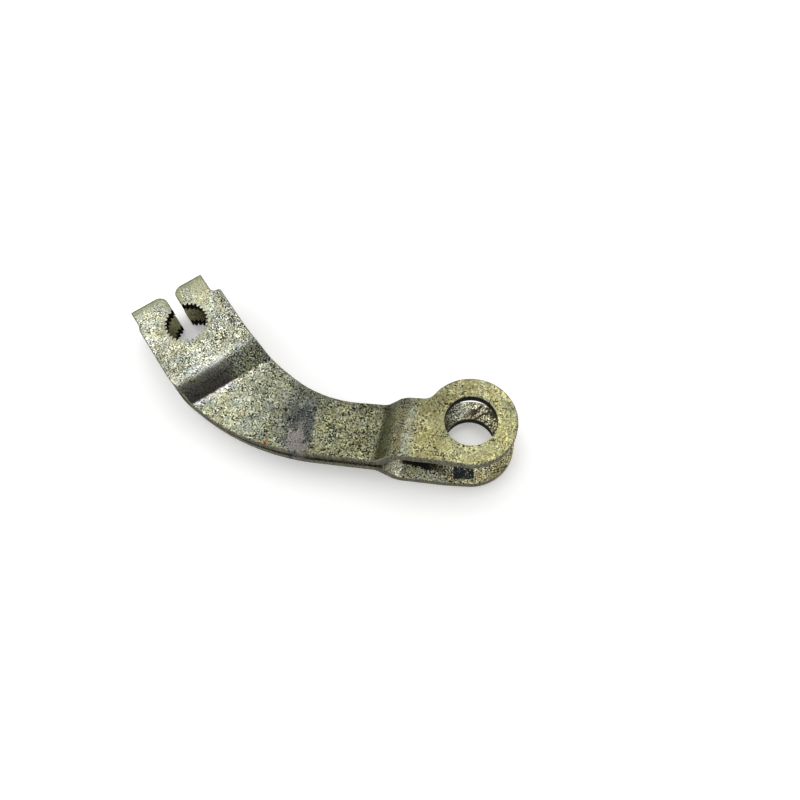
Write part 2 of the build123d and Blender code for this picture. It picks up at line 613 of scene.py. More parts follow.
@dataclass(frozen=True)
class PaintedEarShadow(StainOrShadow):
    """Painted shadow of the upper ear on the lower ear's inner face, fading out towards the eye."""

    ragged: Texture = (0.9, 4.0, 0.7)
    near: Span = (-18.5, -17.0)
    border: Span = (-9.4, -8.2)
    border_slant: float = 0.10
    border_jitter: float = 5.0
    trail: Span = (5.0, -6.0)
    trail_jitter: float = 8.0

    def mask(self, graph: Graph) -> Socket:
        """Where the painted shadow lies.

        Args:
            graph: the material's graph.

        Returns:
            The mask.
        """
        fork_x, fork_y, height = graph.split(graph.placed(PLAN.fork_angle, PLAN.eye))
        ragged = graph.noise(graph.placed(0.0, ORIGIN), self.ragged)
        across = graph.math("MULTIPLY_ADD", fork_x, self.border_slant, fork_y)
        across = graph.math("MULTIPLY_ADD", ragged, self.border_jitter, across)
        trail = graph.math("MULTIPLY_ADD", ragged, self.trail_jitter, fork_x)
        beyond = graph.step(fork_x, *self.near)
        inside = graph.math("MULTIPLY", graph.step(across, *self.border), beyond)
        inside = graph.math("MULTIPLY", inside, graph.step(trail, *self.trail))
        return self.on_lower_leaf(graph, inside, height)


@dataclass(frozen=True)
class DarkSlantStreaks(StainOrShadow):
    """Dark slanting streaks on the lower ear's inner face, round its eye."""

    dark_streaks: Texture = (1.0, 3.0, 0.65)
    slant: float = 62.0
    stretch: Place = (0.45, 1.3, 1.0)
    amount: Span = (0.50, 0.53)
    near: Span = (-4.0, 0.0)
    far_side: Span = (2.0, 5.0)

    def mask(self, graph: Graph) -> Socket:
        """Where the streaks lie.

        Args:
            graph: the material's graph.

        Returns:
            The mask.
        """
        stretched = graph.tinted(graph.placed(self.slant, PLAN.eye), self.stretch)
        streak_mask = graph.step(graph.noise(stretched, self.dark_streaks), *self.amount)
        fork_x, fork_y, height = graph.split(graph.placed(PLAN.fork_angle, PLAN.eye))
        streak_mask = graph.math("MULTIPLY", streak_mask, graph.step(fork_x, *self.near))
        streak_mask = graph.math("MULTIPLY", streak_mask, graph.step(fork_y, *self.far_side))
        return self.on_lower_leaf(graph, streak_mask, height)


@dataclass(frozen=True)
class PaintDab(StainOrShadow):
    """A worn square dab of marking paint on the inner face of the lower ear."""

    turn: float = 21.8
    centre: Point = (89.0, -8.6)
    ragged: Texture = (1.4, 4.0, 0.75)
    ragged_shift: Point = (3.0, 1.0)
    side: Span = (3.6, 3.3)
    side_jitter: float = 1.2
    lower_end: Span = (-2.6, -2.2)
    upper_end: Span = (4.0, 3.6)
    worn: Span = (0.64, 0.55)

    def mask(self, graph: Graph) -> Socket:
        """Where the paint lies.

        Args:
            graph: the material's graph.

        Returns:
            The mask.
        """
        dab_x, dab_y, height = graph.split(graph.placed(self.turn, self.centre))
        ragged = graph.noise(graph.placed(0.0, self.ragged_shift), self.ragged)
        edge = graph.math("ABSOLUTE", dab_x)
        edge = graph.math("MULTIPLY_ADD", ragged, self.side_jitter, edge)
        inside = graph.step(edge, *self.side)
        for value, span in ((dab_y, self.lower_end), (dab_y, self.upper_end), (ragged, self.worn)):
            inside = graph.math("MULTIPLY", inside, graph.step(value, *span))
        return self.on_lower_leaf(graph, inside, height)


@dataclass(frozen=True)
class PlatedSteel:
    """Worn, pitted, yellow-passivated zinc on a pressed face.

    Each table gives the colour and the contrast of the pits along a line, in millimetres from
    the bore's axis or from the eye's axis. The head has one table for each side of its bend.
    """

    name: str
    # The tables' colours hold painted highlights and painted shade as well as the plating's own
    # tone.
    head_outer: tuple[Stop, ...]
    head_inner: tuple[Stop, ...]
    along_fork: tuple[Stop, ...]
    tab: Colour = (0.30, 0.315, 0.19)
    tab_contrast: float = 0.16
    ear_top: float = 1.25
    ear_starts: Span = (-18.0, -14.0)
    ear_wear: float = -0.055
    inner_side_wear: float = 0.03
    heat: Colour = (0.040, 0.047, 0.052)
    weld: Colour = (0.21, 0.195, 0.175)
    weld_contrast: float = 0.35
    weld_share: float = 0.9
    ring_contrast: float = 0.15
    ring_share: float = 0.8
    waist_tint: Colour = (0.42, 0.43, 0.50)
    waist_share: float = 0.55
    rust: Colour = (0.20, 0.112, 0.045)
    rust_jitter: float = 3.5
    rust_spots: tuple[RustSpot, ...] = ()
    surface_marks: tuple[StainOrShadow, ...] = ()
    hues: Texture = (1 / 3.5, 3.0, 0.6)
    olive: Colour = (1.03, 0.98, 0.84)
    olive_span: Span = (0.42, 0.66)
    blue_grey: Colour = (0.93, 0.98, 1.06)
    blue_grey_span: Span = (0.50, 0.30)
    clouds: Texture = (1 / 8.0, 4.0, 0.65)
    cloud_span: Span = (0.3, 0.7)
    cloud_tones: Span = (0.87, 1.13)
    crowds: Texture = (1 / 2.6, 3.0, 0.65)
    crowd_span: Span = (0.36, 0.64)
    crowd_contrasts: Span = (0.42, 1.58)
    metallic: float = 0.8
    pit_roughness: float = 0.55
    glint_roughness: float = 0.36
    bump_strength: float = 0.35

    def build(self, effects: Effects) -> bpy.types.Material:
        """Makes the material.

        Args:
            effects: the shared node groups.

        Returns:
            The material.
        """
        material, graph, shader = principled(self.name)
        where = graph.add("ShaderNodeGroup", node_tree=effects.regions).outputs
        place = graph.placed(0.0, ORIGIN)
        hue = graph.noise(place, self.hues)
        base, contrast = self._zones(graph, where)
        base = self._marked(graph, where, self._clouded(graph, place, hue, base))
        for spot in self.rust_spots:
            uneven = graph.math("SUBTRACT", hue, 0.5)
            uneven = graph.math("MULTIPLY_ADD", uneven, self.rust_jitter, graph.away(spot.place))
            base = graph.blend(graph.step(uneven, spot.radius, 0.0), base, self.rust)
        settings = {
            "Contrast": self._contrast(graph, where, place, contrast),
            "Wear": self._wear(graph, where),
        }
        pits = graph.add("ShaderNodeGroup", settings, node_tree=effects.pitting).outputs
        base = graph.scale_colour(base, pits["Tone"])
        # Marks on the inner face: marking paint, dark streaks and a painted shadow.
        for surface_mark in self.surface_marks:
            base = graph.blend(surface_mark.mask(graph), base, surface_mark.colour)
        rough = graph.lerp(pits["Grain"], self.pit_roughness, self.glint_roughness)
        graph.feed(shader.inputs["Base Color"], base)
        graph.feed(shader.inputs["Metallic"], self.metallic)
        graph.feed(shader.inputs["Roughness"], rough)
        graph.feed(shader.inputs["Normal"], graph.bump(pits["Height"], self.bump_strength))
        return material

    def _zones(self, graph: Graph, where: Any) -> tuple[Socket, Socket]:
        """The colour and the contrast that the three tables give.

        Args:
            graph: the material's graph.
            where: the outputs of the regions' group.

        Returns:
            The colour and the contrast.
        """
        outer, outer_pits = graph.ramp(where["HeadX"], self.head_outer)
        inner, inner_pits = graph.ramp(where["HeadX"], self.head_inner)
        fork, fork_pits = graph.ramp(where["ForkX"], self.along_fork)
        head = graph.blend(where["InnerSide"], outer, inner)
        head_pits = graph.lerp(where["InnerSide"], outer_pits, inner_pits)
        base = graph.blend(where["ToFork"], head, fork)
        return base, graph.lerp(where["ToFork"], head_pits, fork_pits)

    def _clouded(self, graph: Graph, place: Socket, hue: Socket, base: Socket) -> Socket:
        """Drifts the colour between olive and blue grey, and between darker and lighter.

        Args:
            graph: the material's graph.
            place: Object coordinates in millimetres.
            hue: a noise for the hue.
            base: the colour.

        Returns:
            The new colour.
        """
        for span, tint in ((self.olive_span, self.olive), (self.blue_grey_span, self.blue_grey)):
            base = graph.blend(graph.step(hue, *span), base, graph.tinted(base, tint))
        cloud = graph.noise(place, self.clouds)
        return graph.scale_colour(base, graph.step(cloud, *self.cloud_span, *self.cloud_tones))

    def _marked(self, graph: Graph, where: Any, base: Socket) -> Socket:
        """Colours the waist's border, the ear's top, the tabs, the heat tint and the weld marks.

        Args:
            graph: the material's graph.
            where: the outputs of the regions' group.
            base: the colour.

        Returns:
            The new colour.
        """
        waist = graph.math("MULTIPLY", where["Waist"], self.waist_share)
        base = graph.blend(waist, base, graph.tinted(base, self.waist_tint))
        # The ear's top is lighter; on the inner face this is painted light where the upper ear
        # shades it.
        base = graph.scale_colour(base, graph.lerp(where["EarTop"], 1.0, self.ear_top))
        base = graph.blend(where["Tab"], base, self.tab)
        for mask, colour in ((where["Heat"], self.heat), (where["Weld"], self.weld)):
            base = graph.blend(graph.math("MULTIPLY", mask, self.weld_share), base, colour)
        return base

    def _contrast(self, graph: Graph, where: Any, place: Socket, contrast: Socket) -> Socket:
        """Calms the pits on the tabs, the welds and the bore's ring, and crowds them in patches.

        Args:
            graph: the material's graph.
            where: the outputs of the regions' group.
            place: Object coordinates in millimetres.
            contrast: the tables' contrast.

        Returns:
            The new contrast.
        """
        contrast = graph.lerp(where["Tab"], contrast, self.tab_contrast)
        contrast = graph.lerp(where["Weld"], contrast, self.weld_contrast)
        ring = graph.math("MULTIPLY", where["BoreRing"], self.ring_share)
        contrast = graph.lerp(ring, contrast, self.ring_contrast)
        crowded = graph.noise(place, self.crowds)
        crowded = graph.step(crowded, *self.crowd_span, *self.crowd_contrasts)
        return graph.math("MULTIPLY", contrast, crowded)

    def _wear(self, graph: Graph, where: Any) -> Socket:
        """How many more pits there are at the ear and on the head's inner side.

        Args:
            graph: the material's graph.
            where: the outputs of the regions' group.

        Returns:
            The wear.
        """
        on_ear = graph.step(where["ForkX"], *self.ear_starts)
        inner = graph.math("MULTIPLY", where["InnerSide"], self.inner_side_wear)
        return graph.math("MULTIPLY_ADD", on_ear, self.ear_wear, inner)


@dataclass(frozen=True)
class CutSteel:
    """The dark punched edge of the sheet, the wall of a hole, a worn rim or the dark seam edge."""

    name: str
    colour: Colour
    rust: Colour = (0.075, 0.058, 0.03)
    stained: float = 0.6
    surface_marks: Texture = (0.2, 4.0, 0.65)
    stain_span: Span = (0.46, 0.66)
    streaks: Texture = (1.0, 3.0, 0.6)
    streak_stretch: Place = (1.6, 1.6, 0.15)
    streak_span: Span = (0.32, 0.68)
    streak_tones: Span = (0.6, 1.4)
    contrast: float = 0.6
    metallic: float = 0.7
    roughness: float = 0.5
    shine: float = 0.2
    bump_strength: float = 0.3

    def build(self, effects: Effects) -> bpy.types.Material:
        """Makes the material.

        Args:
            effects: the shared node groups.

        Returns:
            The material.
        """
        material, graph, shader = principled(self.name)
        settings = {"Contrast": self.contrast}
        pits = graph.add("ShaderNodeGroup", settings, node_tree=effects.pitting).outputs
        place = graph.placed(0.0, ORIGIN)
        streak = graph.noise(graph.tinted(place, self.streak_stretch), self.streaks)
        streak = graph.step(streak, *self.streak_span, *self.streak_tones)
        surface_mark = graph.step(graph.noise(place, self.surface_marks), *self.stain_span)
        base = graph.blend(graph.math("MULTIPLY", surface_mark, self.stained), self.colour, self.rust)
        base = graph.scale_colour(base, streak)
        base = graph.scale_colour(base, pits["Tone"])
        graph.feed(shader.inputs["Base Color"], base)
        graph.feed(shader.inputs["Metallic"], self.metallic)
        graph.feed(shader.inputs["Roughness"], self.roughness)
        graph.feed(shader.inputs["Specular IOR Level"], self.shine)
        graph.feed(shader.inputs["Normal"], graph.bump(pits["Height"], self.bump_strength))
        return material


@dataclass
class LeafSkin:
    """One stamped leaf, rebuilt from its CAD solid with rolled tabs, dents and broken edges.

    The distances to merge points and to cut on a plane are in metres. Shares are of a size that
    the method names, and a face counts as upright when its normal rises less than that.
    """

    node: str
    side: int
    finishes: dict[Region, bpy.types.Material]
    merge: float = 2e-6
    flat_angle: float = 0.6
    sharp_angle: float = 50.0
    upright: float = 0.05
    outer_share: float = 0.7
    hole_margin: float = 0.3
    teeth_margin: float = 1.5
    on_plane: float = 1e-7
    level: float = 0.01
    roll_start: float = 0.2
    roll_width: float = 1.7
    roll_depth: float = 0.27
    roll_cell: float = 0.4
    chamfer: float = 0.3
    worn_edge: float = 0.3
    eye_edge: float = 0.12
    bevel_segments: int = 2
    dent_reach: float = 0.6
    dent_cells: int = 4
    dents: tuple[Dent, ...] = ()

    def build(self, source: bpy.types.Object) -> bpy.types.Object:
        """Copies the CAD node's mesh, cleans it, wears it and dresses it.

        Args:
            source: the CAD node's object.

        Returns:
            The finished piece.
        """
        work = bmesh.new()
        work.from_mesh(source.data)
        bmesh.ops.remove_doubles(work, verts=work.verts, dist=self.merge)
        bmesh.ops.dissolve_limit(
            work, angle_limit=math.radians(self.flat_angle), verts=work.verts, edges=work.edges
        )
        self._sort_faces(work)
        self._roll_tabs(work)
        for dent in self.dents:
            self._press_dent(work, dent)
        self._break_edges(work)
        self._shade(work)
        mesh = bpy.data.meshes.new(f"{self.node}_skin")
        work.to_mesh(mesh)
        work.free()
        for region in Region:
            mesh.materials.append(self.finishes[region])
        piece = bpy.data.objects.new(f"{self.node}_skin", mesh)
        bpy.context.scene.collection.objects.link(piece)
        weighted = piece.modifiers.new("even_shading", "WEIGHTED_NORMAL")
        weighted.keep_sharp = True
        return piece

    def _sort_faces(self, work: bmesh.types.BMesh) -> None:
        """Gives each face the material slot of its region.

        Args:
            work: the leaf's mesh.
        """
        marks = [Vector((*centre, 0.0)) for centre in (PLAN.lower_weld, PLAN.upper_weld)]
        eye = Vector((*PLAN.eye, 0.0))
        for face in work.faces:
            face.normal_update()
            rise = face.normal.z * self.side
            middle = face.calc_center_median() / MM
            flat = Vector((middle.x, middle.y, 0.0))
            if any((flat - mark).length < PLAN.mark_radius for mark in marks):
                outside = abs(middle.z) > PLAN.sheet * self.outer_share
                region = Region.OUTER if outside else Region.INNER
            elif abs(rise) < self.upright:
                in_bore = flat.length < PLAN.root_radius + self.hole_margin
                in_eye = (flat - eye).length < PLAN.eye_radius + self.hole_margin
                region = Region.BORE if in_bore or in_eye else Region.WALL
            else:
                region = Region.OUTER if rise > 0 else Region.INNER
            face.material_index = region.value
        for face in self._beside(work, Region.OUTER, Region.WALL):
            face.material_index = Region.RIM.value

    @staticmethod
    def _beside(
        work: bmesh.types.BMesh, region: Region, other: Region
    ) -> list[bmesh.types.BMFace]:
        """The faces of one region that share an edge with another region.

        Args:
            work: the leaf's mesh.
            region: the faces' own region.
            other: the region next to them.

        Returns:
            The faces.
        """
        found = []
        for face in work.faces:
            around = {near.material_index for edge in face.edges for near in edge.link_faces}
            if face.material_index == region.value and other.value in around:
                found.append(face)
        return found

    def _cut_grid(
        self, work: bmesh.types.BMesh, frame: Matrix, low: Vector, high: Vector, cell: float
    ) -> None:
        """Divides the faces inside a box of a turned frame into small cells.

        Args:
            work: the leaf's mesh.
            frame: the frame's matrix, in metres.
            low: the box's low corner in the frame, in millimetres.
            high: its high corner.
            cell: the cells' size.
        """
        inverse = frame.inverted()
        for axis in (0, 1):
            normal = frame.to_3x3().col[axis]
            steps = int(round((high[axis] - low[axis]) / cell))
            for step in range(steps + 1):
                at = Vector((0.0, 0.0, 0.0))
                at[axis] = (low[axis] + step * cell) * MM
                faces = work.faces[:]
                if 0 < step < steps or axis == 1:
                    faces = [
                        face
                        for face in faces
                        if self._inside(inverse @ face.calc_center_median() / MM, low, high)
                    ]
                edges = dict.fromkeys(edge for face in faces for edge in face.edges)
                verts = dict.fromkeys(vert for face in faces for vert in face.verts)
                bmesh.ops.bisect_plane(
                    work, geom=[*faces, *edges, *verts], dist=self.on_plane,
                    plane_co=frame @ at, plane_no=normal,
                )
        work.normal_update()

    @staticmethod
    def _inside(point: Vector, low: Vector, high: Vector) -> bool:
        """Whether a point's x and y lie in a box."""
        return low.x < point.x < high.x and low.y < point.y < high.y

    def _roll_tabs(self, work: bmesh.types.BMesh) -> None:
        """Rolls the outer face down to the ends of the tabs and into the slot's mouth.

        Args:
            work: the leaf's mesh.
        """
        frame = Matrix.Rotation(math.radians(-PLAN.head_angle), 4, "Z")
        low = Vector((-PLAN.head_end - self.roll_start, -PLAN.head_width, 0.0))
        high = Vector((-PLAN.root_radius, PLAN.head_width, 0.0))
        self._cut_grid(work, frame, low, high, self.roll_cell)
        inverse = frame.inverted()
        corner = Vector((-PLAN.head_end + PLAN.mouth_radius, PLAN.slot_half + PLAN.mouth_radius))
        top = PLAN.head_height / 2
        for vert in work.verts:
            local = inverse @ vert.co / MM
            if local.z * self.side < top - self.level or local.x > high.x:
                continue
            across = abs(local.y)
            depth = min(local.x + PLAN.head_end, across - PLAN.slot_half)
            if local.x < corner.x and across < corner.y:
                depth = PLAN.mouth_radius - math.hypot(local.x - corner.x, across - corner.y)
            share = 1.0 - (depth - self.chamfer) / self.roll_width
            if share > 0.0:
                fade = min(1.0, (high.x - local.x) / self.roll_width)
                vert.co.z -= self.side * self.roll_depth * MM * min(share, 1.0) ** 2 * fade

    def _press_dent(self, work: bmesh.types.BMesh, dent: Dent) -> None:
        """Presses one shallow dent into the outer face.

        Args:
            work: the leaf's mesh.
            dent: its place, its turn and its sizes.
        """
        middle = Matrix.Translation(Vector((dent.x, dent.y, 0.0)) * MM)
        frame = middle @ Matrix.Rotation(math.radians(dent.turn), 4, "Z")
        reach = Vector((dent.length, dent.width, 0.0)) * self.dent_reach
        self._cut_grid(work, frame, -reach, reach, dent.width / self.dent_cells)
        inverse = frame.inverted()
        outer = [face for face in work.faces if face.material_index == Region.OUTER.value]
        moved = {vert for face in outer for vert in face.verts}
        for vert in moved:
            local = inverse @ vert.co / MM
            away = math.hypot(local.x / dent.length, local.y / dent.width) * 2.0
            if away < 1.0:
                vert.co.z -= self.side * dent.depth * MM * (1.0 - away**2) ** 2

    def _break_edges(self, work: bmesh.types.BMesh) -> None:
        """Breaks the sharp edges of the inner face and of the eye.

        Args:
            work: the leaf's mesh.
        """
        pairs = (
            ({Region.INNER.value, Region.WALL.value}, self.worn_edge, Region.SEAM),
            ({Region.OUTER.value, Region.BORE.value}, self.eye_edge, Region.RIM),
            ({Region.INNER.value, Region.BORE.value}, self.eye_edge, Region.RIM),
        )
        clear = (PLAN.root_radius + self.teeth_margin) * MM
        for regions, width, made_region in pairs:
            edges = [
                edge
                for edge in work.edges
                if len(edge.link_faces) == 2
                and {face.material_index for face in edge.link_faces} == regions
                and edge.verts[0].co.to_2d().length > clear
            ]
            made = bmesh.ops.bevel(
                work, geom=edges, offset=width * MM, offset_type="OFFSET", affect="EDGES",
                segments=self.bevel_segments, profile=0.5, clamp_overlap=True, material=-1,
            )
            for face in made["faces"]:
                face.material_index = made_region.value
        work.normal_update()

    def _shade(self, work: bmesh.types.BMesh) -> None:
        """Shades smoothly across gentle angles only.

        Args:
            work: the leaf's mesh.
        """
        limit = math.radians(self.sharp_angle)
        for face in work.faces:
            face.smooth = True
        for edge in work.edges:
            edge.smooth = len(edge.link_faces) == 2 and edge.calc_face_angle(math.pi) < limit


UPPER_DENTS: tuple[Dent, ...] = (
    Dent(6.3, -9.7, 10.0, 1.7, 0.9, 0.09),
    Dent(14.3, -8.3, 40.0, 2.0, 0.9, 0.10),
    Dent(61.8, -12.5, 35.0, 1.9, 1.0, 0.10),
    Dent(33.0, -14.0, -20.0, 1.5, 1.0, 0.07),
    Dent(25.5, -11.5, 60.0, 1.4, 0.8, 0.06),
)
LOWER_DENTS: tuple[Dent, ...] = (
    Dent(12.0, -4.0, 25.0, 1.8, 0.9, 0.09),
    Dent(36.0, -17.0, -35.0, 2.2, 1.0, 0.10),
    Dent(58.0, -15.0, 15.0, 1.6, 0.9, 0.08),
    Dent(80.0, -9.0, 70.0, 1.5, 0.9, 0.07),
)
RUST_SPOTS: tuple[RustSpot, ...] = (
    RustSpot((37.2, -23.9), 1.5),
    RustSpot((41.0, -24.6), 1.2),
)
# Painted light on the outer head: the light stops at 14.6 to 15.8 and at 22.9 are painted
# highlights on the crown and the knee of the head's bend, the dark stops from 17.4 to 22.4 are
# painted shade on its slope, and the fall from the head towards the fork is partly painted shade,
# partly the plating's own tone.
OUTER_HEAD: tuple[Stop, ...] = (
    (-12.5, (0.29, 0.29, 0.205), 0.6),
    (-10.0, (0.32, 0.33, 0.25), 0.9),
    (0.0, (0.335, 0.34, 0.262), 1.25),
    (8.0, (0.255, 0.265, 0.205), 1.35),
    (13.0, (0.30, 0.31, 0.25), 1.2),
    (14.6, (0.42, 0.44, 0.38), 0.8),
    (15.8, (0.48, 0.50, 0.45), 0.6),
    (17.4, (0.16, 0.16, 0.13), 0.5),
    (19.5, (0.067, 0.065, 0.058), 0.55),
    (22.4, (0.047, 0.045, 0.041), 0.6),
    (22.9, (0.63, 0.63, 0.57), 0.45),
    (23.6, (0.46, 0.46, 0.41), 0.9),
    (24.3, (0.28, 0.29, 0.23), 1.1),
    (25.6, (0.35, 0.365, 0.265), 0.8),
    (33.0, (0.30, 0.312, 0.23), 1.05),
    (37.0, (0.25, 0.268, 0.20), 0.95),
    (50.0, (0.21, 0.215, 0.14), 1.0),
)
# Painted light on the head's inner side too: painted shade on the slope from 15.5 to 22.4, lighter
# here than on the other side, and a painted highlight at the knee at 23.1.
OUTER_HEAD_INNER_SIDE: tuple[Stop, ...] = (
    (-12.5, (0.27, 0.28, 0.19), 0.3),
    (-7.0, (0.30, 0.30, 0.215), 0.4),
    (-3.0, (0.32, 0.33, 0.25), 0.8),
    (6.0, (0.375, 0.38, 0.295), 1.3),
    (13.0, (0.28, 0.29, 0.225), 1.2),
    (15.5, (0.235, 0.25, 0.21), 0.85),
    (17.4, (0.205, 0.215, 0.16), 1.25),
    (20.0, (0.19, 0.205, 0.145), 1.7),
    (22.4, (0.18, 0.195, 0.135), 1.7),
    (23.1, (0.33, 0.34, 0.27), 1.05),
    (25.0, (0.27, 0.28, 0.205), 0.95),
    (30.0, (0.225, 0.235, 0.17), 0.9),
    (36.0, (0.19, 0.20, 0.15), 0.8),
    (50.0, (0.185, 0.19, 0.125), 0.85),
)
# Painted light on the fork's bend: the dark stop at -23.6 is painted shade at its knee, the darker
# stops from -21 to -17.2 are painted shade on its slope, and the light stop at -16.2 is a painted
# highlight on its crown. Past -15 the colours are the ear's own tone.
OUTER_FORK: tuple[Stop, ...] = (
    (-60.0, (0.22, 0.23, 0.16), 0.9),
    (-45.0, (0.20, 0.205, 0.13), 1.05),
    (-27.0, (0.195, 0.20, 0.12), 1.05),
    (-24.4, (0.16, 0.165, 0.095), 0.75),
    (-23.6, (0.07, 0.07, 0.035), 0.9),
    (-21.0, (0.125, 0.13, 0.065), 0.9),
    (-19.3, (0.18, 0.18, 0.10), 0.75),
    (-18.2, (0.155, 0.14, 0.08), 0.5),
    (-17.2, (0.16, 0.155, 0.09), 0.5),
    (-16.2, (0.25, 0.262, 0.20), 0.5),
    (-15.2, (0.22, 0.22, 0.14), 0.55),
    (-13.0, (0.225, 0.215, 0.105), 0.68),
    (-8.0, (0.24, 0.23, 0.115), 0.68),
    (0.0, (0.335, 0.325, 0.17), 0.68),
    (12.5, (0.35, 0.335, 0.162), 0.68),
)
# The inner faces are dark partly in their own duller tone and partly by painted shade of the narrow
# gap between the leaves.
INNER_HEAD: tuple[Stop, ...] = (
    (-12.5, (0.085, 0.085, 0.043), 0.4),
    (0.0, (0.074, 0.074, 0.037), 0.5),
    (22.0, (0.043, 0.043, 0.027), 0.6),
    (50.0, (0.06, 0.06, 0.04), 0.6),
)
# Painted shadow on the inner side of the head, over the lower leaf's inner face seen through the
# bore, darkest just past the bore's axis.
INNER_HEAD_PAINTED_SHADOW: tuple[Stop, ...] = (
    (-12.5, (0.06, 0.06, 0.03), 0.4),
    (-3.0, (0.03, 0.03, 0.015), 0.5),
    (2.0, (0.008, 0.008, 0.005), 0.5),
    (22.0, (0.025, 0.025, 0.015), 0.6),
    (50.0, (0.06, 0.06, 0.04), 0.6),
)
# The dark stops up to -22 are painted shade where the inner faces lie between the leaves, the light
# stop at -18 is a painted highlight on the lower leaf's inner bend, and from -16 on the colours are
# the ear's own tone.
INNER_FORK: tuple[Stop, ...] = (
    (-60.0, (0.06, 0.06, 0.04), 0.6),
    (-22.0, (0.07, 0.07, 0.05), 0.8),
    (-18.0, (0.75, 0.75, 0.60), 0.95),
    (-16.0, (0.66, 0.67, 0.52), 1.3),
    (-6.0, (0.56, 0.56, 0.41), 1.4),
    (-1.0, (0.42, 0.40, 0.27), 1.4),
    (12.5, (0.34, 0.31, 0.165), 1.4),
)


@dataclass(frozen=True)
class LeverAssembly:
    """The two leaves and the welds between them."""

    finishes: dict[Region, bpy.types.Material]
    weld_steel: bpy.types.Material

    def build(self, frame: dict[str, Any]) -> list[bpy.types.Object]:
        """Builds the skins and gives the sealed welds their finish.


        Returns:
            The new pieces.
        """
        made = []
        leaves = (("upper_leaf", 1, UPPER_DENTS), ("lower_leaf", -1, LOWER_DENTS))
        for node, side, dents in leaves:
            skin = LeafSkin(node, side, self.finishes, dents=dents)
            piece = skin.build(frame["nodes"][node])
            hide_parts(node)
            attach(piece, "root")
            made.append(piece)
        welds = frame["nodes"]["spot_welds"]
        welds.data.materials.clear()
        welds.data.materials.append(self.weld_steel)
        return made


@dataclass(frozen=True)
class Floor:
    """A plain white floor that the lever lies on. It rises a little towards the head.

    The two touches are the x and z where the fork and the head rest on it.
    """

    size: float = 6.0
    fork_touch: Point = (70.0, -9.05)
    head_touch: Point = (-15.0, -6.0)
    clearance: float = 0.03
    white: Colour = (0.9, 0.9, 0.895)
    roughness: float = 0.7
    shine: float = 0.2
    glow: float = 0.26

    def build(self) -> bpy.types.Object:
        """Makes the floor and its material.

        Returns:
            The floor's object.
        """
        run = self.fork_touch[0] - self.head_touch[0]
        rise = self.head_touch[1] - self.fork_touch[1]
        tilt = Matrix.Rotation(math.atan(rise / run), 4, "Y")
        below = (self.fork_touch[0], 0.0, self.fork_touch[1] - self.clearance)
        place = Matrix.Translation(Vector(below) * MM)
        mesh = bpy.data.meshes.new("floor")
        work = bmesh.new()
        bmesh.ops.create_grid(
            work, x_segments=1, y_segments=1, size=self.size / 2, matrix=place @ tilt
        )
        work.to_mesh(mesh)
        work.free()
        floor = bpy.data.objects.new("floor", mesh)
        bpy.context.scene.collection.objects.link(floor)
        mesh.materials.append(self._paint())
        return floor

    def _paint(self) -> bpy.types.Material:
        """White paint that looks a little brighter than the light makes it.

        Returns:
            The material.
        """
        material, graph, shader = principled("floor_paint")
        graph.feed(shader.inputs["Base Color"], self.white)
        graph.feed(shader.inputs["Roughness"], self.roughness)
        graph.feed(shader.inputs["Specular IOR Level"], self.shine)
        path = graph.add("ShaderNodeLightPath").outputs
        seen = graph.math("MAXIMUM", path["Is Camera Ray"], path["Is Glossy Ray"])
        seen = graph.math("MAXIMUM", seen, path["Is Transmission Ray"])
        graph.feed(shader.inputs["Emission Color"], WHITE)
        graph.feed(shader.inputs["Emission Strength"], graph.math("MULTIPLY", seen, self.glow))
        return material


